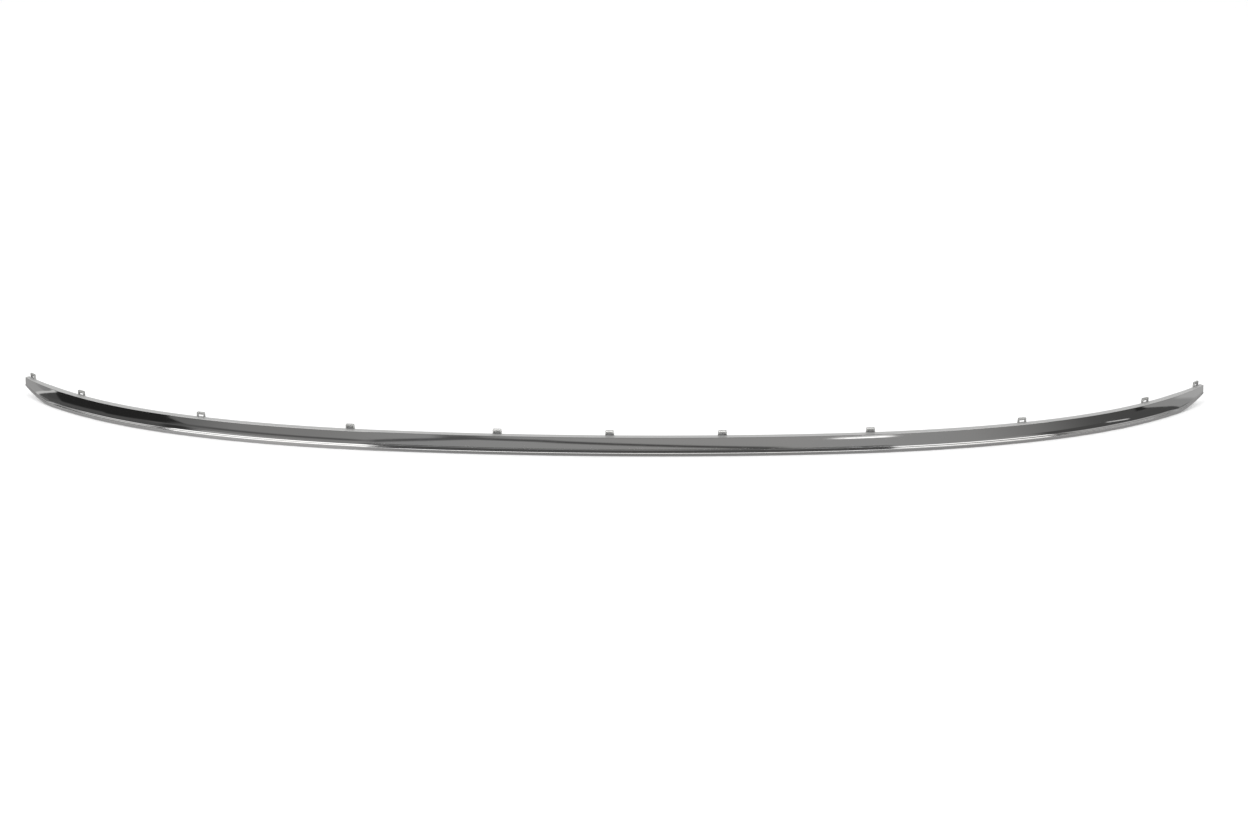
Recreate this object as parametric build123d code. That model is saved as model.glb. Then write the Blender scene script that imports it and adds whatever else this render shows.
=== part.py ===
"""Chrome trim strip for a vehicle bumper, in millimetres.

One moulded, chrome-plated strip, bowed in plan, that stands on its lower edge. Its section is an open
channel: a flat top flange, a leaning and slightly crowned face, a crease, and a round bead along the
foot with a flat return under it. Near each tip the lower edge sweeps up, the bead fades out and the
flange narrows. Snap loops stand on the rear edge of the flange and are moulded with the strip.

X runs along the strip, the face looks towards -Y, and Z is up. The origin is under the middle of the
strip's overall box.
"""
import os
from math import cos, degrees, hypot, radians, sin, tan

from build123d import *

# Plan: tangent arcs from the middle of the strip to its tip, as (radius, length along the crest).
PLAN_ARCS = [
    (3370.0, 300.0), (1510.0, 150.0), (1140.0, 130.0), (700.0, 110.0), (570.0, 120.0), (380.0, 65.0)]

# Section
STRIP_HEIGHT = 23.5
WALL = 2.4
FLANGE_DEPTH = 9.0
FACE_LEAN = 4.5  # how far the foot of the face stands in front of the crest
FACE_CROWN = 0.6  # how far the middle of the face stands proud of a straight line
FACE_RADIUS = 90.0
BEAD_HEIGHT = 6.6
BEAD_REACH = 2.8  # how far the bead stands in front of the foot of the face
BEAD_FALL = 0.6  # fall of the bead's top from the crease to its front
RETURN_DEPTH = 9.0
CREST_RADIUS = 0.5
CREASE_RADIUS = 1.8
BEAD_RADIUS = 1.8
EDGE_RADIUS = 0.5

# Tips: the lower edge rises, the bead fades, the flange narrows and the end is raked.
TIP_RISE = 13.5
TIP_RISE_LENGTH = 66.0
TIP_RISE_POWER = 1.2
TIP_FLANGE_DEPTH = 6.0
BEAD_FADE_LENGTH = 85.0
BEAD_LEFT_AT_TIP = 0.22  # share of the bead's size that is left at the tip
TIP_RAKE = 20.0  # degrees by which the end leans inwards towards its foot
FADE_STEPS = 2  # sections that the fading bead is drawn through before the rise, after the first
TIP_STEPS = 8  # sections that the rising tip is drawn through, after its first

# Snap loops on the rear edge of the flange, as distances along the crest from the middle.
BLIND_LOOPS = [147.0, 342.0]  # like one more in the middle, they have a recess and no window
WINDOW_LOOPS = [552.0, 753.0, 864.0]
LOOP_BASE_WIDTH = 12.2
LOOP_TOP_WIDTH = 11.2
LOOP_HEIGHT = 6.4
LOOP_THICKNESS = 2.6
LOOP_OVERHANG = 1.6  # how far the loop stands out behind the rear edge of the flange
LOOP_ROOT = 2.0  # how far the loop reaches down below the top of the flange
LOOP_CORNER = 1.2
WINDOW_WIDTH = 8.0
WINDOW_HEIGHT = 2.9
WINDOW_CORNER = 0.5
RECESS_DEPTH = 1.4

HALF_LENGTH = sum(length for _, length in PLAN_ARCS)
TIP_START = HALF_LENGTH - BEAD_FADE_LENGTH  # the bead starts to fade before the lower edge rises
RISE_START = HALF_LENGTH - TIP_RISE_LENGTH


def plan_point(distance):
    """Crest point and heading in degrees, at a distance from the middle along the right half."""
    x, y, heading = 0.0, 0.0, 0.0
    for radius, length in PLAN_ARCS:
        run = min(distance, length)
        start, heading = heading, heading + degrees(run / radius)
        x += radius * (sin(radians(heading)) - sin(radians(start)))
        y += radius * (cos(radians(start)) - cos(radians(heading)))
        distance -= run
    return x, y, heading


def section_plane(distance):
    """Plane across the strip: its x points out of the face, and its y points up."""
    x, y, heading = plan_point(distance)
    outward = Vector(sin(radians(heading)), -cos(radians(heading)), 0)
    inward_run = Vector(-cos(radians(heading)), -sin(radians(heading)), 0)
    return Plane(origin=(x, y, 0), x_dir=outward, z_dir=inward_run)


def flange_depth(distance):
    """Depth of the top flange, which narrows towards the tip."""
    share = min(1.0, (HALF_LENGTH - distance) / TIP_RISE_LENGTH)
    return TIP_FLANGE_DEPTH + (FLANGE_DEPTH - TIP_FLANGE_DEPTH) * share


def face_reach(height):
    """How far the straight line of the face stands in front of the crest at a height."""
    return FACE_LEAN * (STRIP_HEIGHT - height) / (STRIP_HEIGHT - BEAD_HEIGHT)


def outer_outline(distance):
    """Corners and corner radii of the section's outside, from the rear of the flange to the return."""
    from_tip = HALF_LENGTH - distance
    low = TIP_RISE * max(0.0, 1.0 - from_tip / TIP_RISE_LENGTH) ** TIP_RISE_POWER
    bead = BEAD_LEFT_AT_TIP + (1.0 - BEAD_LEFT_AT_TIP) * min(1.0, from_tip / BEAD_FADE_LENGTH)
    crease = low + BEAD_HEIGHT * bead
    foot = face_reach(crease)
    front = foot + BEAD_REACH * bead
    face_share = (STRIP_HEIGHT - crease) / (STRIP_HEIGHT - BEAD_HEIGHT)
    middle = (foot / 2.0 + FACE_CROWN * face_share**2, (STRIP_HEIGHT + crease) / 2.0)
    corners = [
        ((-flange_depth(distance), STRIP_HEIGHT), EDGE_RADIUS),
        ((0.0, STRIP_HEIGHT), CREST_RADIUS),
        (middle, FACE_RADIUS),
        ((foot, crease), CREASE_RADIUS * bead),
        ((front, crease - BEAD_FALL * bead), BEAD_RADIUS * bead),
        ((front, low), BEAD_RADIUS * bead),
        ((front - RETURN_DEPTH, low), EDGE_RADIUS),
    ]
    return corners, low


def inner_outline(distance, low):
    """Corners and corner radii of the channel inside the section, from the return to the flange."""
    face_wall = WALL * hypot(FACE_LEAN, STRIP_HEIGHT - BEAD_HEIGHT) / (STRIP_HEIGHT - BEAD_HEIGHT)
    corners, _ = outer_outline(distance)
    return_rear = corners[-1][0][0]
    floor, ceiling = low + WALL, STRIP_HEIGHT - WALL
    return [
        ((return_rear, floor), EDGE_RADIUS),
        ((face_reach(floor) - face_wall, floor), EDGE_RADIUS),
        ((face_reach(ceiling) - face_wall, ceiling), EDGE_RADIUS),
        ((-flange_depth(distance), ceiling), EDGE_RADIUS),
    ]


def closed_face(corners):
    """Face inside a closed outline with rounded corners."""
    points = [point for point, _ in corners]
    radii = [radius for _, radius in corners]
    return make_face(FilletPolyline(points, radius=radii, close=True))


def section(distance):
    """The channel section, standing in its place along the strip."""
    outer, low = outer_outline(distance)
    return section_plane(distance) * closed_face(outer + inner_outline(distance, low))


def arc_span(start, end, radius):
    """Stretch of the strip along one plan arc, made by turning its section about the arc's centre."""
    x, y, heading = plan_point(end)
    centre = (x - radius * sin(radians(heading)), y + radius * cos(radians(heading)), 0)
    return revolve(section(end), Axis(centre, (0, 0, -1)), degrees((end - start) / radius))


def stations(start, end, steps):
    """Evenly spaced distances along the strip, both ends included."""
    return [start + (end - start) * step / steps for step in range(steps + 1)]


def plug_section(distance):
    """The whole section up to the middle of its wall, with the channel filled."""
    outer, _ = outer_outline(distance)
    return section_plane(distance) * offset(closed_face(outer), amount=-WALL / 2.0, kind=Kind.INTERSECTION)


def tip():
    """Tip of the strip, drawn through its changing sections, closed by a plug and cut to its rake."""
    body = loft([section(distance) for distance in stations(TIP_START, RISE_START, FADE_STEPS)])
    body += loft([section(distance) for distance in stations(RISE_START, HALF_LENGTH, TIP_STEPS)])
    plug_start = HALF_LENGTH - WALL - STRIP_HEIGHT * tan(radians(TIP_RAKE))
    body += loft([plug_section(distance) for distance in stations(plug_start, HALF_LENGTH, 2)])
    x, y, heading = plan_point(HALF_LENGTH)
    flat, slope = cos(radians(TIP_RAKE)), sin(radians(TIP_RAKE))
    along = Vector(cos(radians(heading)) * flat, sin(radians(heading)) * flat, -slope)
    return split(body, Plane(origin=(x, y, STRIP_HEIGHT), z_dir=along), keep=Keep.BOTTOM)


def snap_loop(distance, cut_depth):
    """Snap loop at the rear edge of the flange, with its window or recess cut from the front."""
    outline = make_face(Polyline(
        (-LOOP_BASE_WIDTH / 2.0, -LOOP_ROOT), (LOOP_BASE_WIDTH / 2.0, -LOOP_ROOT),
        (LOOP_TOP_WIDTH / 2.0, LOOP_HEIGHT), (-LOOP_TOP_WIDTH / 2.0, LOOP_HEIGHT), close=True))
    outline = fillet(outline.vertices().group_by(Axis.Y)[-1], LOOP_CORNER)
    window = Pos(0, WINDOW_HEIGHT / 2.0) * Rectangle(WINDOW_WIDTH, WINDOW_HEIGHT)
    window = fillet(window.vertices().group_by(Axis.Y)[-1], WINDOW_CORNER)
    across = section_plane(distance)
    front = LOOP_THICKNESS - LOOP_OVERHANG - flange_depth(distance)
    seat = across.from_local_coords((front, STRIP_HEIGHT))
    upright = Plane(origin=seat, x_dir=across.z_dir, z_dir=-across.x_dir)
    return extrude(upright * outline, amount=LOOP_THICKNESS) - extrude(upright * window, amount=cut_depth)


def trim_strip():
    """The whole strip, moved so that the origin is under the middle of its overall box."""
    radius, start = PLAN_ARCS[0]
    middle = arc_span(-start, start, radius)
    right = [tip()]
    for radius, length in PLAN_ARCS[1:]:
        end = min(start + length, TIP_START)
        if end > start:
            right.append(arc_span(start, end, radius))
        start += length
    right += [snap_loop(place, RECESS_DEPTH) for place in BLIND_LOOPS]
    right += [snap_loop(place, LOOP_THICKNESS) for place in WINDOW_LOOPS]
    left = [mirror(piece, about=Plane.YZ) for piece in right]
    strip = middle + right + left + [snap_loop(0.0, RECESS_DEPTH)]
    box = strip.bounding_box()
    return Pos(-box.center().X, -box.center().Y, 0.0) * strip


os.makedirs("parts", exist_ok=True)
strip = trim_strip().solids()[0]
strip.label = "trim_strip"
export_step(strip, "parts/trim_strip.step")
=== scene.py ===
"""Chrome-plated bumper trim strip: its finish, its floor, its studio and its camera.

The strip is one moulding with snap loops along its rear upper edge. It is drawn again here much more
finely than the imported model, because its bright plating shows every facet as a kink in a reflection.
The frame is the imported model's: X along the strip, -Y out of its face, Z up. The strip's sizes are in
millimetres and become metres in its meshes. Those of the floor and the lamps are in metres.
"""

import logging
import math
from dataclasses import dataclass
from enum import Enum, IntEnum

import bmesh
import bpy
from mathutils import Matrix, Vector


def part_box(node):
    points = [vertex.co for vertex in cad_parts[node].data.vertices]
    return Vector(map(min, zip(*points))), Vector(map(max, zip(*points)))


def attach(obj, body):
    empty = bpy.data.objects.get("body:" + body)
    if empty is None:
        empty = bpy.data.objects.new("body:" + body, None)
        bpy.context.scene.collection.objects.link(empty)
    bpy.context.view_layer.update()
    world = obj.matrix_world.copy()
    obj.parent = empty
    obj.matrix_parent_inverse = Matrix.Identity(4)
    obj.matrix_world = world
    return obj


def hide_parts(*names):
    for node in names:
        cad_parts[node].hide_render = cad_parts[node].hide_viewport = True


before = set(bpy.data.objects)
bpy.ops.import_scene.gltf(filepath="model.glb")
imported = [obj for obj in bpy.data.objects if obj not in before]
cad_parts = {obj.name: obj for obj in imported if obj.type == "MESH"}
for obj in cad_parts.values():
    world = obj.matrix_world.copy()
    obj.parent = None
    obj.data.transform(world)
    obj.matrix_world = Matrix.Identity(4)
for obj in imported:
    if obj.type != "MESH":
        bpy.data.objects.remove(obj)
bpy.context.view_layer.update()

LOG = logging.getLogger("bumper_trim")
NODE = "trim_strip"
BODY = "root"
MM = 0.001
SHARP_ANGLE = 38.0  # degrees between two faces from which their edge is shaded as a sharp one
WELD = 1e-7  # metres within which two vertices are one
MIRROR_WELD = 1e-6  # metres within which the two halves of the strip join in the middle

# Short names for types
Tree = bpy.types.NodeTree
Socket = bpy.types.NodeSocket
BMesh = bmesh.types.BMesh
Vertex = bmesh.types.BMVert
Edges = list[bmesh.types.BMEdge]
Corner = tuple[float, float, float]  # place across, height and radius of one corner of an outline


class Side(Enum):
    """Half of the strip, as seen from in front of it, with the sign of its X."""

    LEFT = -1
    MIDDLE = 0
    RIGHT = 1


class Opening(Enum):
    """What a snap loop has in its middle."""

    WINDOW = "window"
    RECESS = "recess"


class Zone(IntEnum):
    """Part of a piece's surface, with the number of its material slot."""

    OUTSIDE = 0
    INSIDE = 1
    FLANGE = 2


# Snap loops to each side of the middle one: distance along the crest in millimetres, and opening
LOOPS = ((147.0, Opening.RECESS), (342.0, Opening.RECESS), (552.0, Opening.WINDOW),
         (753.0, Opening.WINDOW), (864.0, Opening.WINDOW))


def linear(hex_colour: str) -> tuple[float, float, float, float]:
    """Turn an sRGB hex colour into linear values.

    Args:
        hex_colour: a colour such as "#C3C5C7".

    Returns:
        Red, green, blue and an alpha of 1.
    """
    values = [int(hex_colour[i:i + 2], 16) / 255.0 for i in (1, 3, 5)]
    return (*[v / 12.92 if v <= 0.04045 else ((v + 0.055) / 1.055) ** 2.4 for v in values], 1.0)


def add_node(tree: Tree, kind: str, inputs: dict | None = None, **settings: object) -> bpy.types.Node:
    """Add a node with its settings, and link or set its inputs.

    Args:
        tree: the node tree to add to.
        kind: the node's type name.
        inputs: input names or numbers, each with a value or with the output socket to link.
        settings: properties of the node itself.

    Returns:
        The new node.
    """
    node = tree.nodes.new(kind)
    for name, value in settings.items():
        setattr(node, name, value)
    for name, value in (inputs or {}).items():
        if isinstance(value, Socket):
            tree.links.new(value, node.inputs[name])
        else:
            node.inputs[name].default_value = value
    return node


def new_material(name: str) -> bpy.types.Material:
    """Make a material with an empty node tree.

    Args:
        name: the material's name.

    Returns:
        The material.
    """
    material = bpy.data.materials.new(name)
    material.use_nodes = True
    material.node_tree.nodes.clear()
    return material


def rounded(corners: list[Corner], arc_steps: int, run_steps: int) -> list[tuple[float, float]]:
    """Round every corner of a closed outline with an arc, and divide the runs between the arcs.

    Args:
        corners: the outline's corners.
        arc_steps: steps that each arc is drawn in.
        run_steps: steps that each straight run is drawn in.

    Returns:
        Points of the outline, always as many for as many corners.
    """
    arcs = []
    for index, (across, height, radius) in enumerate(corners):
        corner = Vector((across, height))
        back = (Vector(corners[index - 1][:2]) - corner).normalized()
        ahead = (Vector(corners[(index + 1) % len(corners)][:2]) - corner).normalized()
        half = back.angle(ahead) / 2.0
        centre = corner + (back + ahead).normalized() * radius / math.sin(half)
        first = corner + back * radius / math.tan(half) - centre
        turn = math.pi - 2.0 * half
        if back.x * ahead.y - back.y * ahead.x > 0.0:
            turn = -turn
        arcs.append([centre + Matrix.Rotation(turn * step / arc_steps, 2) @ first
                     for step in range(arc_steps + 1)])
    points = []
    for index, arc in enumerate(arcs):
        points += arc
        target = arcs[(index + 1) % len(arcs)][0]
        points += [arc[-1].lerp(target, step / run_steps) for step in range(1, run_steps)]
    return [(point.x, point.y) for point in points]


def extrude_ring(bm: BMesh, edges: Edges) -> tuple[Edges, list[Vertex]]:
    """Extrude a closed ring of edges and leave the new ring where the old one is.

    Args:
        bm: the mesh.
        edges: the ring's edges.

    Returns:
        The new ring's edges and its vertices.
    """
    made = bmesh.ops.extrude_edge_only(bm, edges=edges)["geom"]
    vertices = [item for item in made if isinstance(item, Vertex)]
    fresh = set(vertices)
    ring = [item for item in made if isinstance(item, bmesh.types.BMEdge) and fresh.issuperset(item.verts)]
    return ring, vertices


def finished(name: str, bm: BMesh, materials: list[bpy.types.Material]) -> bpy.types.Object:
    """Turn a bmesh into a smooth object at the origin, with sharp edges where the shape turns sharply.

    Args:
        name: the piece's name.
        bm: the mesh, which is freed.
        materials: its material slots.

    Returns:
        The linked object.
    """
    mesh = bpy.data.meshes.new(name)
    bm.to_mesh(mesh)
    bm.free()
    mesh.shade_smooth()
    mesh.set_sharp_from_angle(angle=math.radians(SHARP_ANGLE))
    for material in materials:
        mesh.materials.append(material)
    piece = bpy.data.objects.new(name, mesh)
    bpy.context.scene.collection.objects.link(piece)
    return piece


def plated(name: str, bm: BMesh, materials: list[bpy.types.Material]) -> bpy.types.Object:
    """Finish a piece of the moulding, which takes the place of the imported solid.

    Args:
        name: the piece's name.
        bm: the mesh, which is freed.
        materials: its material slots, in the order of Zone.

    Returns:
        The finished piece.
    """
    piece = finished(name, bm, materials)
    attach(piece, BODY)
    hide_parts(NODE)
    return piece


@dataclass(frozen=True)
class Station:
    """Place on the crest: distance from the middle, x and y in millimetres, and heading in radians."""

    distance: float = 0.0
    x: float = 0.0
    y: float = 0.0
    heading: float = 0.0


@dataclass(frozen=True)
class PlanCurve:
    """Plan of the crest: tangent arcs whose curvature is eased where they meet, in millimetres.

    Real tooling has no sudden change of curvature along a bright strip, because it would show as a
    kink in every reflection, so the curvature is blended over a short length at each joint.
    """

    # Radius and length of each arc, from the middle to a tip
    arcs: tuple[tuple[float, float], ...] = (
        (3370.0, 300.0), (1510.0, 150.0), (1140.0, 130.0), (700.0, 110.0), (570.0, 120.0), (380.0, 65.0))
    blend: float = 60.0  # length over which the curvature is averaged
    step: float = 0.5  # length of the small steps in which the curve is walked

    @property
    def half_length(self) -> float:
        """Length along the crest from the middle to a tip."""
        return sum(length for _, length in self.arcs)

    def curvature(self, distance: float) -> float:
        """Average the curvature round a place, as if the first and the last arc went on for ever.

        Args:
            distance: how far along the crest the place is from the middle.

        Returns:
            Curvature in 1/mm.
        """
        low, high = distance - self.blend / 2.0, distance + self.blend / 2.0
        total, start = 0.0, 0.0
        for index, (radius, length) in enumerate(self.arcs):
            end = start + length
            first = -math.inf if index == 0 else start
            last = math.inf if index == len(self.arcs) - 1 else end
            total += max(0.0, min(high, last) - max(low, first)) / radius
            start = end
        return total / self.blend

    def walk(self, start: Station, length: float) -> Station:
        """Walk on along the right half of the crest.

        Args:
            start: the station to start from.
            length: how far to walk.

        Returns:
            The station at the end.
        """
        count = max(1, round(length / self.step))
        step = length / count
        x, y, heading = start.x, start.y, start.heading
        for index in range(count):
            turn = self.curvature(start.distance + (index + 0.5) * step) * step
            x += math.cos(heading + turn / 2.0) * step
            y += math.sin(heading + turn / 2.0) * step
            heading += turn
        return Station(start.distance + length, x, y, heading)

    def place(self, distance: float) -> Station:
        """Find the station at a distance from the middle."""
        return self.walk(Station(), distance)

    def stations(self, spacing: float) -> list[Station]:
        """Divide the right half of the crest evenly.

        Args:
            spacing: the spacing to come as near to as an even division can.

        Returns:
            The stations, from the middle to the tip.
        """
        count = round(self.half_length / spacing)
        found = [Station()]
        for _ in range(count):
            found.append(self.walk(found[-1], self.half_length / count))
        return found


@dataclass(frozen=True)
class TrimSection:
    """Channel section of the strip, in millimetres: across is out of the face from the crest."""

    height: float = 23.5
    wall: float = 2.4
    flange_depth: float = 9.0
    face_lean: float = 4.5  # how far the foot of the face stands in front of the crest
    face_crown: float = 0.6  # how far the middle of the face stands proud of a straight line
    face_radius: float = 90.0
    bead_height: float = 6.6
    bead_reach: float = 2.8  # how far the bead stands in front of the foot of the face
    bead_fall: float = 0.6  # fall of the bead's top from the crease to its front
    return_depth: float = 9.0
    crest_radius: float = 0.3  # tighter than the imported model's, for a thin line of light on the crest
    crease_radius: float = 1.8
    bead_radius: float = 1.8
    edge_radius: float = 0.5
    tip_rise: float = 13.5  # how far the lower edge sweeps up towards the tip
    tip_rise_length: float = 66.0
    tip_rise_power: float = 1.2
    tip_flange_depth: float = 6.0
    bead_fade_length: float = 85.0
    bead_left_at_tip: float = 0.22  # share of the bead's size that is left at the tip
    arc_steps: int = 10
    run_steps: int = 5

    @property
    def points_per_corner(self) -> int:
        """Points of the outline that a corner and the run after it have."""
        return self.arc_steps + self.run_steps

    @property
    def inside_from(self) -> int:
        """Number of the outline's first point inside the channel."""
        return len(self.outer(0.0)) * self.points_per_corner

    @property
    def wall_ends(self) -> tuple[int, int]:
        """Numbers of the two points, at the channel's rear edges, between which it is walled off."""
        last_corner = (len(self.inner(0.0)) - 1) * self.points_per_corner
        return self.inside_from + self.arc_steps, self.inside_from + last_corner

    def flange_at(self, from_tip: float) -> float:
        """Depth of the top flange at a distance from the tip."""
        share = min(1.0, from_tip / self.tip_rise_length)
        return self.tip_flange_depth + (self.flange_depth - self.tip_flange_depth) * share

    def low_at(self, from_tip: float) -> float:
        """Height of the strip's lower edge at a distance from the tip."""
        return self.tip_rise * max(0.0, 1.0 - from_tip / self.tip_rise_length) ** self.tip_rise_power

    def face_reach(self, height: float) -> float:
        """How far the straight line of the face stands in front of the crest at a height."""
        return self.face_lean * (self.height - height) / (self.height - self.bead_height)

    def outer(self, from_tip: float) -> list[Corner]:
        """Work out the outside, from the rear of the flange over the crest to the rear of the return.

        Args:
            from_tip: distance from the tip.

        Returns:
            Its corners.
        """
        low = self.low_at(from_tip)
        bead = self.bead_left_at_tip + (1.0 - self.bead_left_at_tip) * min(
            1.0, from_tip / self.bead_fade_length)
        crease = low + self.bead_height * bead
        foot = self.face_reach(crease)
        front = foot + self.bead_reach * bead
        face_share = (self.height - crease) / (self.height - self.bead_height)
        middle = foot / 2.0 + self.face_crown * face_share**2
        return [
            (-self.flange_at(from_tip), self.height, self.edge_radius),
            (0.0, self.height, self.crest_radius),
            (middle, (self.height + crease) / 2.0, self.face_radius),
            (foot, crease, self.crease_radius * bead),
            (front, crease - self.bead_fall * bead, self.bead_radius * bead),
            (front, low, self.bead_radius * bead),
            (front - self.return_depth, low, self.edge_radius),
        ]

    def inner(self, from_tip: float) -> list[Corner]:
        """Work out the channel inside, from the rear of the return round to the rear of the flange.

        Args:
            from_tip: distance from the tip.

        Returns:
            Its corners.
        """
        slope = math.hypot(self.face_lean, self.height - self.bead_height)
        face_wall = self.wall * slope / (self.height - self.bead_height)
        rear = self.outer(from_tip)[-1][0]
        floor, ceiling = self.low_at(from_tip) + self.wall, self.height - self.wall
        return [
            (rear, floor, self.edge_radius),
            (self.face_reach(floor) - face_wall, floor, self.edge_radius),
            (self.face_reach(ceiling) - face_wall, ceiling, self.edge_radius),
            (-self.flange_at(from_tip), ceiling, self.edge_radius),
        ]

    def outline(self, from_tip: float) -> list[tuple[float, float]]:
        """Draw the whole section at a distance from the tip, its outside first."""
        return rounded(self.outer(from_tip) + self.inner(from_tip), self.arc_steps, self.run_steps)


@dataclass(frozen=True)
class ChromePlating:
    """Bright decorative chrome over nickel on moulded ABS.

    Electroplated over a polished tool surface: a grey mirror with a trace of orange peel from the
    moulding underneath. It gives the eye crisp dark and light bands that waver a little, with a soft
    haze where the strip has been handled and wiped. Sizes are in millimetres.
    """

    name: str = "plated_chrome_on_abs"
    cool: str = "#C3C4C5"
    warm: str = "#C8C6C3"
    roughness: float = 0.03
    haze: float = 0.05  # roughness that handling and wiping add at most
    cast_size: float = 180.0  # size of the stretches that are a little warmer or cooler
    haze_size: float = 22.0
    peel_size: float = 9.0
    peel_depth: float = 0.0005
    wipe_size: float = 1.6
    wipe_stretch: float = 0.12  # scale along the strip of the wipe marks, which are long that way
    smear_low: float = 0.18  # noise below which the plating is clean
    smear_high: float = 0.42  # noise above which the haze is full

    def build(self) -> bpy.types.Material:
        """Make the material.

        Returns:
            The material, with its nodes.
        """
        material = new_material(self.name)
        tree = material.node_tree
        where = add_node(tree, "ShaderNodeTexCoord").outputs["Object"]
        cast = add_node(tree, "ShaderNodeTexNoise", {
            "Vector": where, "Scale": 1.0 / (self.cast_size * MM), "Detail": 2.0})
        colour = add_node(tree, "ShaderNodeMix", {
            0: cast.outputs["Fac"], 6: linear(self.cool), 7: linear(self.warm)}, data_type="RGBA")
        haze = add_node(tree, "ShaderNodeTexNoise", {
            "Vector": where, "Scale": 1.0 / (self.haze_size * MM), "Detail": 6.0, "Roughness": 0.6})
        stretched = add_node(tree, "ShaderNodeMapping", {
            "Vector": where, "Scale": (self.wipe_stretch, self.wipe_stretch, 1.0)})
        wiped = add_node(tree, "ShaderNodeTexNoise", {
            "Vector": stretched.outputs["Vector"], "Scale": 1.0 / (self.wipe_size * MM), "Detail": 3.0})
        smear = add_node(tree, "ShaderNodeMath", {
            0: haze.outputs["Fac"], 1: wiped.outputs["Fac"]}, operation="MULTIPLY")
        rough = add_node(tree, "ShaderNodeMapRange", {
            "Value": smear.outputs[0], "From Min": self.smear_low, "From Max": self.smear_high,
            "To Min": self.roughness, "To Max": self.roughness + self.haze})
        peel = add_node(tree, "ShaderNodeTexNoise", {
            "Vector": where, "Scale": 1.0 / (self.peel_size * MM), "Detail": 1.0})
        bump = add_node(tree, "ShaderNodeBump", {
            "Height": peel.outputs["Fac"], "Distance": self.peel_depth * MM, "Strength": 1.0})
        shader = add_node(tree, "ShaderNodeBsdfPrincipled", {
            "Base Color": colour.outputs[2], "Metallic": 1.0,
            "Roughness": rough.outputs["Result"], "Normal": bump.outputs["Normal"]})
        add_node(tree, "ShaderNodeOutputMaterial", {"Surface": shader.outputs["BSDF"]})
        return material


@dataclass(frozen=True)
class SatinPlating:
    """Nickel and chrome over a surface of the moulding that was never polished.

    It gives the eye a soft sheen in place of a mirror, with the fine pits and the flow marks of the
    tool. A darker copy of it on the walls of the recesses and windows stands for the shade that falls
    there: painted shade. A metallic value below 1 stands for the light that a dull layer scatters. Sizes
    are in millimetres.
    """

    name: str
    light: str
    dark: str
    roughness: float
    metallic: float = 1.0
    pit_size: float = 1.2
    pit_depth: float = 0.02
    pit_strength: float = 0.6
    flow_size: float = 40.0
    dark_polish: float = 0.06  # how much smoother the dark flow marks are
    light_grain: float = 0.08  # how much rougher the light flow marks are

    def build(self) -> bpy.types.Material:
        """Make the material.

        Returns:
            The material, with its nodes.
        """
        material = new_material(self.name)
        tree = material.node_tree
        where = add_node(tree, "ShaderNodeTexCoord").outputs["Object"]
        flow = add_node(tree, "ShaderNodeTexNoise", {
            "Vector": where, "Scale": 1.0 / (self.flow_size * MM), "Detail": 4.0})
        colour = add_node(tree, "ShaderNodeMix", {
            0: flow.outputs["Fac"], 6: linear(self.dark), 7: linear(self.light)}, data_type="RGBA")
        rough = add_node(tree, "ShaderNodeMapRange", {
            "Value": flow.outputs["Fac"], "To Min": self.roughness - self.dark_polish,
            "To Max": self.roughness + self.light_grain})
        pits = add_node(tree, "ShaderNodeTexNoise", {
            "Vector": where, "Scale": 1.0 / (self.pit_size * MM), "Detail": 3.0})
        bump = add_node(tree, "ShaderNodeBump", {
            "Height": pits.outputs["Fac"], "Distance": self.pit_depth * MM, "Strength": self.pit_strength})
        shader = add_node(tree, "ShaderNodeBsdfPrincipled", {
            "Base Color": colour.outputs[2], "Metallic": self.metallic,
            "Roughness": rough.outputs["Result"], "Normal": bump.outputs["Normal"]})
        add_node(tree, "ShaderNodeOutputMaterial", {"Surface": shader.outputs["BSDF"]})
        return material


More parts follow.
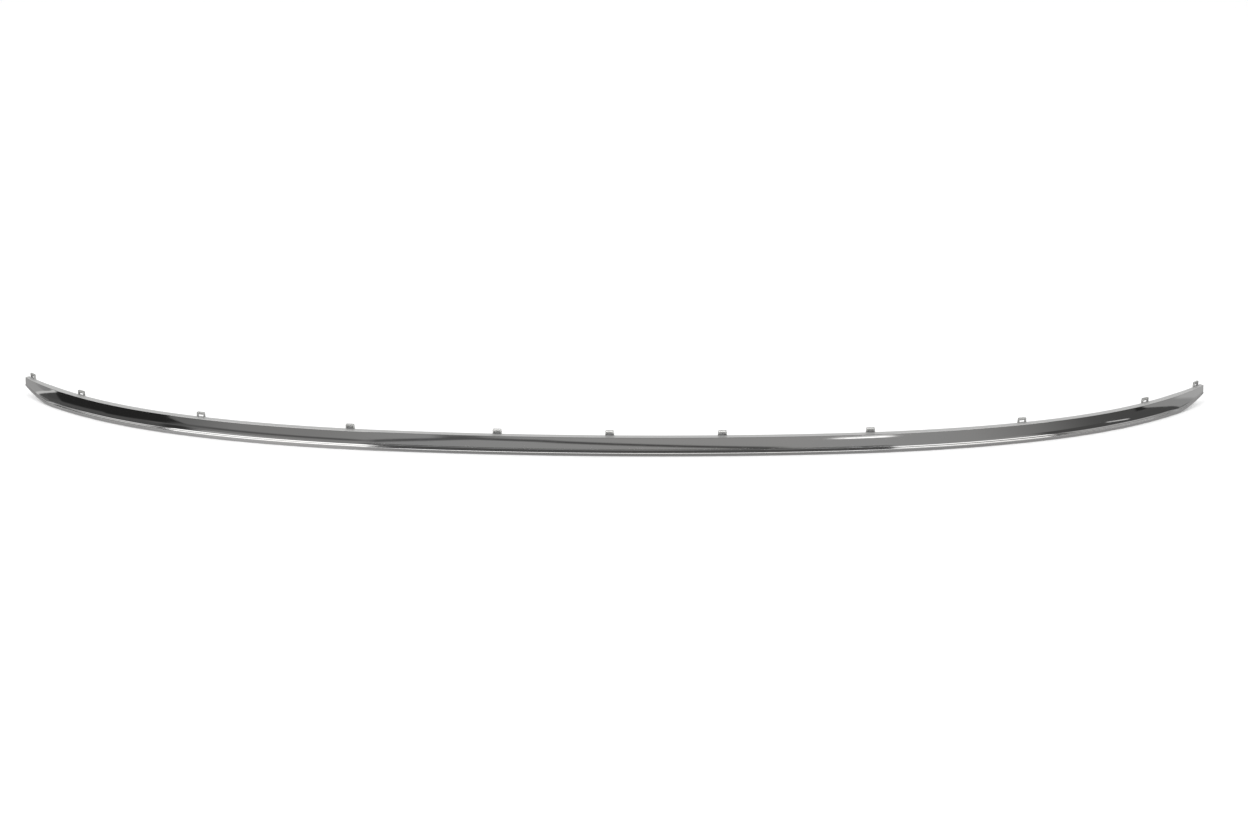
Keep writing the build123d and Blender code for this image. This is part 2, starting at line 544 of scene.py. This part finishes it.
@dataclass
class TrimStrip:
    """The plated strip itself: the channel section carried along the plan curve, with closed tips."""

    plan: PlanCurve
    section: TrimSection
    shift: float  # Y of the crest's middle, in millimetres
    spacing: float = 4.0  # millimetres between the sections that are drawn
    tip_rake: float = 20.0  # degrees by which the end leans inwards towards its foot
    rim: float = 0.35  # chamfer round the end, in millimetres
    rim_steps: int = 2
    flange_margin: float = 0.01  # millimetres under the top at which the flange's top begins

    def point(self, station: Station, across: float, height: float) -> Vector:
        """Place a point of the section at a station, in metres."""
        x = station.x + across * math.sin(station.heading)
        return Vector((x, station.y - across * math.cos(station.heading) + self.shift, height)) * MM

    def carry(self, bm: BMesh, edges: Edges,
              places: dict[Vertex, Vector]) -> tuple[Edges, dict[Vertex, Vertex]]:
        """Extrude a ring of edges to its next station.

        Args:
            bm: the mesh.
            edges: the ring's edges.
            places: where each of the ring's vertices goes.

        Returns:
            The new ring's edges, and the new vertex of each old one.
        """
        ring, vertices = extrude_ring(bm, edges)
        fresh = set(vertices)
        follows = {old: next(other for other in (edge.other_vert(old) for edge in old.link_edges)
                             if other in fresh) for old in places}
        for old, place in places.items():
            follows[old].co = place
        return ring, follows

    def build_half(self, bm: BMesh) -> None:
        """Draw the right half, from the middle of the strip to its tip, before it is raked.

        Args:
            bm: the mesh.
        """
        section, length = self.section, self.plan.half_length
        inside_from = section.inside_from
        stations = self.plan.stations(self.spacing)
        rows = [section.outline(length - station.distance) for station in stations]
        inside = bm.verts.layers.int.new("inside")
        ring = [bm.verts.new(self.point(stations[0], *point)) for point in rows[0]]
        edges = [bm.edges.new((ring[i], ring[(i + 1) % len(ring)])) for i in range(len(ring))]
        number = {vertex: index for index, vertex in enumerate(ring)}
        for vertex, index in number.items():
            vertex[inside] = int(index >= inside_from)
        plug = length - section.wall - section.height * math.tan(math.radians(self.tip_rake))
        closed = False
        for station, row in zip(stations[1:], rows[1:]):
            places = {vertex: self.point(station, *row[index]) for vertex, index in number.items()}
            edges, follows = self.carry(bm, edges, places)
            number = {follows[vertex]: index for vertex, index in number.items()}
            for vertex, index in number.items():
                vertex[inside] = int(index >= inside_from)
            if not closed and station.distance >= plug:
                edges, number = self.close_channel(bm, edges, number)
                closed = True

    def close_channel(self, bm: BMesh, edges: Edges,
                      number: dict[Vertex, int]) -> tuple[Edges, dict[Vertex, int]]:
        """Wall off the channel near the tip, and go on with the filled section only.

        Args:
            bm: the mesh.
            edges: the ring's edges.
            number: each of the ring's vertices with its number round the section.

        Returns:
            The remaining ring's edges and its vertices with their numbers.
        """
        first, last = self.section.wall_ends
        by_number = {index: vertex for vertex, index in number.items()}
        chain = [by_number[index] for index in range(first, last + 1)]
        bm.faces.new(chain)
        dropped = set(chain[1:-1])
        closing = bm.edges.get((chain[0], chain[-1]))
        kept = [edge for edge in edges if dropped.isdisjoint(edge.verts)]
        number = {vertex: index for vertex, index in number.items() if vertex not in dropped}
        return kept + [closing], number

    def rake_tip(self, bm: BMesh) -> None:
        """Cut the tip to its rake, close it and chamfer its rim.

        Args:
            bm: the mesh of the right half.
        """
        tip = self.plan.place(self.plan.half_length)
        rake = math.radians(self.tip_rake)
        along = Vector((math.cos(tip.heading) * math.cos(rake), math.sin(tip.heading) * math.cos(rake),
                        -math.sin(rake)))
        crest = self.point(tip, 0.0, self.section.height) - along * self.rim * MM
        cut = bmesh.ops.bisect_plane(bm, geom=bm.verts[:] + bm.edges[:] + bm.faces[:], dist=WELD,
                                     plane_co=crest, plane_no=along, clear_outer=True)["geom_cut"]
        outline = [item for item in cut if isinstance(item, bmesh.types.BMEdge)]
        end = bmesh.ops.edgenet_fill(bm, edges=outline)["faces"]
        step = self.rim / self.rim_steps * MM
        for _ in range(self.rim_steps):
            bmesh.ops.inset_region(bm, faces=end, thickness=step, depth=step, use_boundary=True)

    def build(self) -> BMesh:
        """Draw the whole strip.

        Returns:
            The closed mesh, with its faces sorted into zones.
        """
        bm = bmesh.new()
        self.build_half(bm)
        self.rake_tip(bm)
        bmesh.ops.mirror(bm, geom=bm.verts[:] + bm.edges[:] + bm.faces[:], axis="X", merge_dist=MIRROR_WELD)
        bmesh.ops.remove_doubles(bm, verts=bm.verts, dist=WELD)
        bmesh.ops.recalc_face_normals(bm, faces=bm.faces)
        inside = bm.verts.layers.int["inside"]
        flange = (self.section.height - self.flange_margin) * MM
        for face in bm.faces:
            if all(vertex[inside] for vertex in face.verts):
                face.material_index = Zone.INSIDE
            elif all(vertex.co.z > flange for vertex in face.verts):
                face.material_index = Zone.FLANGE
        return bm

    def dress(self, face: bpy.types.Material, back: bpy.types.Material,
              flange: bpy.types.Material) -> bpy.types.Object:
        """Build the strip and give it its finishes.

        Args:
            face: finish of the outside.
            back: finish of the channel.
            flange: finish of the top of the flange.

        Returns:
            The finished piece.
        """
        return plated("plated_strip", self.build(), [face, back, flange])


@dataclass
class SnapLoop:
    """One snap loop at the rear edge of the flange, with a window through it or a blind recess.

    It is drawn in millimetres in its own axes, with its front at zero depth and the top of the flange
    at zero height, and then settled in its place.
    """

    name: str
    plan: PlanCurve
    section: TrimSection
    shift: float  # Y of the crest's middle
    distance: float  # place along the crest, from the middle of the strip
    side: Side
    opening: Opening
    base_width: float = 12.2
    top_width: float = 11.2
    height: float = 6.4
    thickness: float = 2.6
    overhang: float = 1.6  # how far the loop stands out behind the rear edge of the flange
    root: float = 2.0  # how far the loop reaches down below the top of the flange
    corner: float = 1.3
    root_corner: float = 0.3
    window_width: float = 8.0
    window_height: float = 2.9
    window_corner: float = 0.6
    sill_corner: float = 0.2
    recess_depth: float = 1.4
    edge: float = 0.3  # rounding of the rims
    edge_angle: float = 1.2  # radians between two faces from which their edge is a rim
    edge_steps: int = 4
    arc_steps: int = 8
    run_steps: int = 2

    def ring(self, bm: BMesh, below: Corner, above: Corner) -> Edges:
        """Draw a closed outline, alike to both sides, in the plane of the loop's front.

        Args:
            bm: the mesh.
            below: its lower right corner.
            above: its upper right corner.

        Returns:
            The outline's edges.
        """
        corners = [below, above, (-above[0], *above[1:]), (-below[0], *below[1:])]
        points = rounded(corners, self.arc_steps, self.run_steps)
        verts = [bm.verts.new((across, 0.0, height)) for across, height in points]
        return [bm.edges.new((vertex, verts[index - 1])) for index, vertex in enumerate(verts)]

    def push_back(self, bm: BMesh, edges: Edges, depth: float) -> Edges:
        """Extrude an outline towards the rear of the loop.

        Args:
            bm: the mesh.
            edges: the outline's edges.
            depth: how far back it goes.

        Returns:
            The new outline's edges.
        """
        ring, vertices = extrude_ring(bm, edges)
        bmesh.ops.translate(bm, verts=vertices, vec=(0.0, depth, 0.0))
        return ring

    def build(self) -> BMesh:
        """Draw the loop in its place.

        Returns:
            The closed mesh, with the walls of the opening in the inside zone.
        """
        bm = bmesh.new()
        outside = self.ring(bm, (self.base_width / 2.0, -self.root, self.root_corner),
                            (self.top_width / 2.0, self.height, self.corner))
        window = self.ring(bm, (self.window_width / 2.0, 0.0, self.sill_corner),
                           (self.window_width / 2.0, self.window_height, self.window_corner))
        bmesh.ops.bridge_loops(bm, edges=outside + window)
        rear = self.push_back(bm, outside, self.thickness)
        before = set(bm.faces)
        if self.opening is Opening.WINDOW:
            window_rear = self.push_back(bm, window, self.thickness)
            walls = [face for face in bm.faces if face not in before]
            bmesh.ops.bridge_loops(bm, edges=rear + window_rear)
        else:
            bmesh.ops.edgeloop_fill(bm, edges=self.push_back(bm, window, self.recess_depth))
            walls = [face for face in bm.faces if face not in before]
            bmesh.ops.edgeloop_fill(bm, edges=rear)
        for face in walls:
            face.material_index = Zone.INSIDE
        bmesh.ops.recalc_face_normals(bm, faces=bm.faces)
        rims = [edge for edge in bm.edges if edge.calc_face_angle() > self.edge_angle
                and edge.verts[0].co.y == edge.verts[1].co.y
                and any(face.material_index == Zone.OUTSIDE for face in edge.link_faces)]
        bmesh.ops.bevel(bm, geom=rims, offset=self.edge, offset_type="OFFSET", segments=self.edge_steps,
                        profile=0.5, affect="EDGES", clamp_overlap=True, material=-1)
        self.settle(bm)
        return bm

    def settle(self, bm: BMesh) -> None:
        """Turn and move the loop from its own axes to its place on the flange, in metres.

        Args:
            bm: the mesh.
        """
        seat = self.plan.place(self.distance)
        flange = self.section.flange_at(self.plan.half_length - self.distance)
        front = flange + self.overhang - self.thickness
        x, y = seat.x - front * math.sin(seat.heading), seat.y + front * math.cos(seat.heading)
        turn = Matrix.Rotation(self.side.value * seat.heading, 4, "Z")
        move = Matrix.Translation((self.side.value * x, y + self.shift, self.section.height))
        bmesh.ops.transform(bm, matrix=Matrix.Scale(MM, 4) @ move @ turn, verts=bm.verts)

    def dress(self, satin: bpy.types.Material, painted_shade_plating: bpy.types.Material) -> bpy.types.Object:
        """Build the loop and give it its finishes.

        Args:
            satin: finish of the outside.
            painted_shade_plating: darker finish of the walls of the window or the recess, whose darkness is
                painted shade.

        Returns:
            The finished piece.
        """
        # The walls of the window or the recess take the darker plating, which is painted shade
        return plated(self.name, self.build(), [satin, painted_shade_plating])


@dataclass(frozen=True)
class StudioPatch:
    """A panel, flag or lamp on the walls of the studio, as the strip's mirror sees it.

    Angles are in degrees: azimuth from straight out of the face towards +X, and elevation from level.
    The soft values are the widths of the patch's blurred edges. A lean slides it along the azimuth as
    it rises, and a tilt raises it as the azimuth grows.
    """

    azimuth: float
    elevation: float
    half_width: float
    half_height: float
    level: float
    soft: float = 2.0
    soft_height: float = 1.0
    lean: float = 0.0
    tilt: float = 0.0


@dataclass(frozen=True)
class CeilingPatch:
    """A long lamp or flag overhead, that runs back over the strip.

    Each place along the strip sees one line across the ceiling, from the front over to the rear. The
    span numbers those lines, from -1 at the left tip to 1 at the right one, and the arc is in degrees
    along the line, from level in front to level behind.
    """

    span: float
    arc: float
    half_span: float
    half_arc: float
    level: float
    soft_span: float = 0.02
    soft_arc: float = 6.0


@dataclass(frozen=True)
class Cyclorama:
    """Brightness round the studio at one range of heights, as stops of azimuth and level."""

    stops: tuple[tuple[float, float], ...]
    reach: float = 180.0

    def level(self, tree: Tree, azimuth: Socket) -> Socket:
        """Read the brightness at an azimuth.

        Args:
            tree: the world's nodes.
            azimuth: degrees round from the front.

        Returns:
            The brightness.
        """
        share = add_node(tree, "ShaderNodeMapRange", {
            "Value": azimuth, "From Min": -self.reach, "From Max": self.reach})
        node = add_node(tree, "ShaderNodeValToRGB", {"Fac": share.outputs["Result"]})
        elements = node.color_ramp.elements
        given = len(elements)  # a new ramp has a few stops already
        for index, (place, level) in enumerate(self.stops):
            position = (place + self.reach) / (2.0 * self.reach)
            element = elements[index] if index < given else elements.new(position)
            element.position, element.color = position, (level, level, level, 1.0)
        return node.outputs["Color"]


@dataclass(frozen=True)
class Directions:
    """Where a ray goes in the studio, as sockets in the world's nodes."""

    azimuth: Socket  # degrees round from the front, towards +X
    elevation: Socket  # degrees up from level
    turned: Socket  # degrees round from the front, to either side
    span: Socket  # as in CeilingPatch
    arc: Socket  # as in CeilingPatch


@dataclass(frozen=True)
class Softbox:
    """A square softbox that looks at the strip, and that the plating doesn't show."""

    name: str
    place: tuple[float, float, float]  # metres
    power: float  # watts
    size: float = 1.0  # metres

    def build(self) -> None:
        """Hang the softbox."""
        lamp = bpy.data.lights.new(self.name, "AREA")
        lamp.shape, lamp.size, lamp.energy = "SQUARE", self.size, self.power
        box = bpy.data.objects.new(self.name, lamp)
        box.location = self.place
        box.rotation_euler = (-Vector(self.place)).to_track_quat("-Z", "Y").to_euler()
        box.visible_glossy = False
        bpy.context.scene.collection.objects.link(box)


@dataclass(frozen=True)
class Studio:
    """Pale floor, white surround, softboxes, and the lamps and panels that the plating reflects.

    The plating sees the studio as walls round it, a dark ceiling with long lamps in it and a table
    below, with patches laid over the walls and the table. Angles are in degrees.
    """

    floor_colour: str = "#FBFBFB"
    floor_reach: float = 14.0  # metres
    floor_drop: float = 0.0001  # metres that the floor lies under the strip, so that they don't touch
    floor_sides: int = 64  # sides of the polygon that the round floor is drawn as
    ceiling_level: float = 0.09
    rear_ceiling_level: float = 0.24
    ceiling_from: float = 19.0  # elevation of the walls' top in front
    ceiling_blur: float = 1.0  # half the width of that edge
    rear_ceiling_rise: float = 8.0  # how much higher the walls reach behind
    rear_from: float = 92.0  # azimuth to either side at which the front begins to turn into the rear
    rear_full: float = 100.0  # azimuth to either side at which it has done so
    table_full: float = -1.2  # elevation up to which there is only the table
    table_until: float = -0.2  # elevation of its edge
    span_depth: float = 0.7  # with span_turn, scales the span so that it is 1 at a tip
    span_turn: float = -0.362
    walls: Cyclorama = Cyclorama((
        (-180.0, 0.9), (-112.0, 0.75), (-104.0, 0.55), (-97.0, 0.4), (-88.0, 0.34), (-53.0, 0.2),
        (-46.0, 0.22), (-38.0, 0.31), (-25.0, 0.33), (-14.0, 0.4), (2.0, 0.42), (22.0, 0.43), (34.0, 0.38),
        (45.0, 0.26), (52.0, 0.18), (58.0, 0.125), (66.0, 0.105), (80.0, 0.1), (98.0, 0.12), (104.0, 0.5),
        (112.0, 0.7), (180.0, 0.9)))
    table: Cyclorama = Cyclorama((
        (-180.0, 0.6), (-90.0, 0.5), (-60.0, 0.5), (-42.0, 0.62), (-24.0, 0.6), (-17.0, 0.4), (0.0, 0.34),
        (25.0, 0.42), (90.0, 0.46), (180.0, 0.6)))
    ceiling: tuple[CeilingPatch, ...] = (
        # Each has its span, arc, half span, half arc and level. First the pale rear of the ceiling,
        # which the flange shows
        CeilingPatch(0.0, 152.0, 3.0, 25.0, 0.95, soft_arc=10.0),
        # Long lamps to the left and right, which the bead shows as bright lines
        CeilingPatch(-0.555, 61.0, 0.235, 37.0, 2.2),
        CeilingPatch(0.56, 55.0, 0.195, 31.0, 2.1),
        # Dimmer lamps over the tips
        CeilingPatch(-1.0, 82.0, 0.18, 33.0, 1.0),
        CeilingPatch(1.0, 82.0, 0.22, 33.0, 0.7),
    )
    patches: tuple[StudioPatch, ...] = (
        # Each has its azimuth, elevation, half width, half height and level. First the lamps low in
        # the middle, to the right and to the left, which the front of the bead shows
        StudioPatch(0.5, -9.4, 21.0, 7.6, 3.2, soft_height=1.5),
        StudioPatch(50.0, -12.0, 30.0, 5.0, 1.5, soft_height=1.5),
        StudioPatch(-55.0, -12.0, 38.5, 5.0, 1.1, soft_height=1.5),
        # Dark borders of the table, in two parts to the left and in one to the right
        StudioPatch(-66.0, -3.5, 22.5, 4.0, 0.12, soft=5.0),
        StudioPatch(-85.6, -3.5, 9.0, 4.0, 0.12, soft=1.5, lean=1.0),
        StudioPatch(70.0, -4.0, 26.0, 4.5, 0.1, soft=6.0),
        # Dark wedge, black flag in two overlapping parts, and the bright slit beyond them
        StudioPatch(-81.5, 8.0, 4.0, 12.0, 0.1, soft=1.5, lean=0.8),
        StudioPatch(-63.5, 11.5, 13.0, 12.0, 0.028, soft=1.5, soft_height=1.5, lean=-0.7, tilt=0.2),
        StudioPatch(-76.2, 11.5, 14.8, 13.4, 0.028, soft=1.5, soft_height=1.5, lean=-0.41, tilt=0.2),
        StudioPatch(-88.4, 4.0, 1.0, 12.0, 0.85, soft=1.4, lean=1.0),
        # Dark band along the foot of the left wall, and its end under the flag
        StudioPatch(-34.0, 3.8, 14.5, 1.5, 0.14, soft=5.0, soft_height=2.4),
        StudioPatch(-48.4, -0.6, 2.8, 2.0, 0.05, soft=3.0, soft_height=2.4, tilt=0.15),
        # Dark rail that climbs on the left, turns over and falls to the right
        StudioPatch(-15.0, 9.0, 4.0, 2.3, 0.14, soft=1.5, soft_height=2.8, tilt=1.4),
        StudioPatch(-9.5, 13.4, 4.2, 1.7, 0.13, soft=2.0, soft_height=2.4, tilt=-0.25),
        StudioPatch(2.6, 6.2, 8.8, 1.9, 0.11, soft=3.0, soft_height=3.2, tilt=-0.66),
        # Flat lamp high on the right
        StudioPatch(19.2, 13.9, 3.3, 0.8, 2.2, soft=2.5, soft_height=0.9),
        # Dark gap and small lamp on the right
        StudioPatch(73.9, 6.8, 1.9, 2.0, 0.03, soft=1.5),
        StudioPatch(65.4, -1.0, 3.5, 0.6, 0.95, soft=1.6, soft_height=0.8, tilt=-0.3),
        # Leaning grey panels at the far right, the second one paler
        StudioPatch(100.7, 9.0, 28.0, 16.0, 0.42, soft=1.0, lean=-1.1),
        StudioPatch(112.0, 9.0, 29.0, 16.0, 0.62, soft=4.0, lean=-1.1),
        # Dark edge of the table in the middle, which draws the crease
        StudioPatch(1.0, -0.8, 21.0, 0.9, 0.08, soft_height=0.6),
    )
    softboxes: tuple[Softbox, ...] = (
        Softbox("softbox_left", (-1.9, -1.6, 2.9), 26.0), Softbox("softbox_right", (1.9, -1.6, 2.9), 20.0))

    def lay_floor(self) -> None:
        """Lay the floor, through which the plating sees the table."""
        material = new_material("studio_floor")
        tree = material.node_tree
        light = add_node(tree, "ShaderNodeLightPath")
        plain = add_node(tree, "ShaderNodeBsdfDiffuse", {"Color": linear(self.floor_colour)})
        clear = add_node(tree, "ShaderNodeBsdfTransparent")
        shader = add_node(tree, "ShaderNodeMixShader", {
            0: light.outputs["Is Glossy Ray"], 1: plain.outputs[0], 2: clear.outputs[0]})
        add_node(tree, "ShaderNodeOutputMaterial", {"Surface": shader.outputs[0]})
        bm = bmesh.new()
        bmesh.ops.create_circle(bm, cap_ends=True, segments=self.floor_sides, radius=self.floor_reach)
        bmesh.ops.translate(bm, verts=bm.verts, vec=(0.0, 0.0, -self.floor_drop))
        finished("floor", bm, [material])

    def directions(self, tree: Tree) -> Directions:
        """Work out where a ray goes.

        Args:
            tree: the world's nodes.

        Returns:
            Its directions.
        """
        way = add_node(tree, "ShaderNodeTexCoord").outputs["Generated"]
        axes = add_node(tree, "ShaderNodeSeparateXYZ", {"Vector": way}).outputs
        ahead = add_node(tree, "ShaderNodeMath", {0: axes["Y"], 1: -1.0}, operation="MULTIPLY").outputs[0]
        azimuth = add_node(tree, "ShaderNodeMath", {0: axes["X"], 1: ahead}, operation="ARCTAN2").outputs[0]
        azimuth = add_node(tree, "ShaderNodeMath", {0: azimuth}, operation="DEGREES").outputs[0]
        elevation = add_node(tree, "ShaderNodeMath", {0: axes["Z"]}, operation="ARCSINE").outputs[0]
        elevation = add_node(tree, "ShaderNodeMath", {0: elevation}, operation="DEGREES").outputs[0]
        turned = add_node(tree, "ShaderNodeMath", {0: azimuth}, operation="ABSOLUTE").outputs[0]
        depth = add_node(tree, "ShaderNodeMath", {
            0: axes["Y"], 1: self.span_turn, 2: self.span_depth}, operation="MULTIPLY_ADD").outputs[0]
        span = add_node(tree, "ShaderNodeMath", {0: axes["X"], 1: depth}, operation="DIVIDE").outputs[0]
        arc = add_node(tree, "ShaderNodeMath", {0: axes["Z"], 1: ahead}, operation="ARCTAN2").outputs[0]
        arc = add_node(tree, "ShaderNodeMath", {0: arc}, operation="DEGREES").outputs[0]
        return Directions(azimuth, elevation, turned, span, arc)

    def band(self, tree: Tree, value: Socket, middle: float, half: float, soft: float) -> Socket:
        """Make a mask that is 1 within a distance of a middle value, with soft edges.

        Args:
            tree: the world's nodes.
            value: the value.
            middle: the middle of the band.
            half: half the band's width.
            soft: width of each edge.

        Returns:
            The mask.
        """
        offset = add_node(tree, "ShaderNodeMath", {0: value, 1: middle}, operation="SUBTRACT")
        away = add_node(tree, "ShaderNodeMath", {0: offset.outputs[0]}, operation="ABSOLUTE")
        return add_node(tree, "ShaderNodeMapRange", {
            "Value": away.outputs[0], "From Min": half - soft / 2.0, "From Max": half + soft / 2.0,
            "To Min": 1.0, "To Max": 0.0}, interpolation_type="SMOOTHSTEP").outputs["Result"]

    def lay_over(self, tree: Tree, under: Socket, level: float, one: Socket, other: Socket) -> Socket:
        """Lay a patch of one brightness over what is there, where two masks meet.

        Args:
            tree: the world's nodes.
            under: brightness without the patch.
            level: the patch's brightness.
            one: the first mask.
            other: the second mask.

        Returns:
            Brightness with the patch.
        """
        mask = add_node(tree, "ShaderNodeMath", {0: one, 1: other}, operation="MULTIPLY").outputs[0]
        return add_node(tree, "ShaderNodeMix", {0: mask, 2: under, 3: level}).outputs[0]

    def overhead(self, tree: Tree, ray: Directions) -> Socket:
        """Work out the brightness of the ceiling with its lamps.

        Args:
            tree: the world's nodes.
            ray: where the ray goes.

        Returns:
            The brightness.
        """
        level = add_node(tree, "ShaderNodeMapRange", {
            "Value": ray.turned, "From Min": self.rear_from, "From Max": self.rear_full,
            "To Min": self.ceiling_level, "To Max": self.rear_ceiling_level},
            interpolation_type="SMOOTHSTEP").outputs["Result"]
        for patch in self.ceiling:
            across = self.band(tree, ray.span, patch.span, patch.half_span, patch.soft_span)
            along = self.band(tree, ray.arc, patch.arc, patch.half_arc, patch.soft_arc)
            level = self.lay_over(tree, level, patch.level, across, along)
        return level

    def around(self, tree: Tree, ray: Directions) -> Socket:
        """Work out the brightness of the whole studio, as the plating sees it.

        Args:
            tree: the world's nodes.
            ray: where the ray goes.

        Returns:
            The brightness.
        """
        rise = add_node(tree, "ShaderNodeMapRange", {
            "Value": ray.turned, "From Min": self.rear_from, "From Max": self.rear_full,
            "To Min": 0.0, "To Max": self.rear_ceiling_rise}, interpolation_type="SMOOTHSTEP")
        height = add_node(tree, "ShaderNodeMath", {
            0: ray.elevation, 1: rise.outputs["Result"]}, operation="SUBTRACT")
        level = add_node(tree, "ShaderNodeMapRange", {
            "Value": height.outputs[0], "From Min": self.ceiling_from - self.ceiling_blur,
            "From Max": self.ceiling_from + self.ceiling_blur,
            "To Min": self.walls.level(tree, ray.azimuth), "To Max": self.overhead(tree, ray)},
            interpolation_type="SMOOTHSTEP").outputs["Result"]
        level = add_node(tree, "ShaderNodeMapRange", {
            "Value": ray.elevation, "From Min": self.table_full, "From Max": self.table_until,
            "To Min": self.table.level(tree, ray.azimuth), "To Max": level},
            interpolation_type="SMOOTHSTEP").outputs["Result"]
        for patch in self.patches:
            upright = add_node(tree, "ShaderNodeMath", {
                0: ray.elevation, 1: -patch.lean, 2: ray.azimuth}, operation="MULTIPLY_ADD").outputs[0]
            flat = add_node(tree, "ShaderNodeMath", {
                0: ray.azimuth, 1: -patch.tilt, 2: ray.elevation}, operation="MULTIPLY_ADD").outputs[0]
            middle = patch.azimuth - patch.lean * patch.elevation
            across = self.band(tree, upright, middle, patch.half_width, patch.soft)
            middle = patch.elevation - patch.tilt * patch.azimuth
            along = self.band(tree, flat, middle, patch.half_height, patch.soft_height)
            level = self.lay_over(tree, level, patch.level, across, along)
        return level

    def light_surround(self) -> None:
        """Make the world: plain white light for everything, and the studio for the plating."""
        world = bpy.data.worlds.new("studio")
        world.use_nodes = True
        tree = world.node_tree
        tree.nodes.clear()
        white = (1.0, 1.0, 1.0, 1.0)
        level = self.around(tree, self.directions(tree))
        light = add_node(tree, "ShaderNodeLightPath")
        mirror = add_node(tree, "ShaderNodeBackground", {"Color": white, "Strength": level})
        plain = add_node(tree, "ShaderNodeBackground", {"Color": white, "Strength": 1.0})
        mixed = add_node(tree, "ShaderNodeMixShader", {
            0: light.outputs["Is Glossy Ray"], 1: plain.outputs[0], 2: mirror.outputs[0]})
        add_node(tree, "ShaderNodeOutputWorld", {"Surface": mixed.outputs[0]})
        bpy.context.scene.world = world

    def build(self) -> None:
        """Set up the floor, the surround and the softboxes."""
        self.lay_floor()
        self.light_surround()
        for softbox in self.softboxes:
            softbox.build()


@dataclass(frozen=True)
class PhotoCamera:
    """Camera at the photograph's angle, with its angles in degrees."""

    elevation: float = 21.0  # how far it looks down
    azimuth: float = -0.67
    roll: float = 0.154
    distance: float = 2600.0  # millimetres from what it aims at
    aim: tuple[float, float, float] = (17.5, -7.4, 16.0)  # millimetres
    photo_width: float = 1248.0  # pixels
    focal_pixels: float = 1934.5  # focal length, in pixels of the photograph
    sensor: float = 36.0  # millimetres
    far: float = 100.0  # metres

    def build(self) -> None:
        """Set up the camera and make it the scene's own."""
        lens = bpy.data.cameras.new("photo_camera")
        lens.sensor_width = self.sensor
        lens.lens = self.focal_pixels / self.photo_width * self.sensor
        lens.clip_end = self.far
        camera = bpy.data.objects.new("photo_camera", lens)
        down, round_by = math.radians(self.elevation), math.radians(self.azimuth)
        ahead = Vector((math.sin(round_by) * math.cos(down), math.cos(round_by) * math.cos(down),
                        -math.sin(down)))
        turn = ahead.to_track_quat("-Z", "Y").to_matrix().to_4x4()
        roll = Matrix.Rotation(math.radians(self.roll), 4, "Z")
        place = (Vector(self.aim) - ahead * self.distance) * MM
        camera.matrix_world = Matrix.Translation(place) @ turn @ roll
        bpy.context.scene.collection.objects.link(camera)
        bpy.context.scene.camera = camera


def main() -> None:
    """Build the strip, its loops, the studio and the camera, in that order."""
    logging.basicConfig(level=logging.INFO, format="%(message)s")
    plan, section = PlanCurve(), TrimSection()
    front = section.face_lean + section.bead_reach
    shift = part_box(NODE)[0][1] / MM + front
    mirror = ChromePlating().build()
    back = SatinPlating("satin_plating_on_the_back", "#C6C8C9", "#B0B2B4", 0.3).build()
    flange = SatinPlating("satin_plating_on_the_flange", "#BEBEBD", "#B4B4B3", 0.5, metallic=0.5,
                          pit_depth=0.004).build()
    satin = SatinPlating("satin_plating_on_the_loops", "#C4C4C2", "#AEAEAC", 0.24,
                         pit_size=0.8, pit_depth=0.01, flow_size=4.0).build()
    # Darker plating for the walls of the recesses and windows, whose darkness is painted shade
    painted_shade_plating = SatinPlating("thin_plating_in_the_recesses", "#A6A6A6", "#949494", 0.45, metallic=0.6,
                        flow_size=3.0).build()
    strip = TrimStrip(plan, section, shift)
    pieces = [strip.dress(mirror, back, flange)]
    middle = SnapLoop("snap_loop_middle", plan, section, shift, 0.0, Side.MIDDLE, Opening.RECESS)
    pieces.append(middle.dress(satin, painted_shade_plating))
    for count, (distance, opening) in enumerate(LOOPS, start=1):
        for side in (Side.LEFT, Side.RIGHT):
            name = f"snap_loop_{side.name.lower()}_{count}"
            loop = SnapLoop(name, plan, section, shift, distance, side, opening)
            pieces.append(loop.dress(satin, painted_shade_plating))
    for piece in pieces:
        LOG.info("piece %s: %d faces", piece.name, len(piece.data.polygons))
    Studio().build()
    PhotoCamera().build()
    bpy.context.scene.view_settings.view_transform = "Standard"


if __name__ == "__main__":
    main()
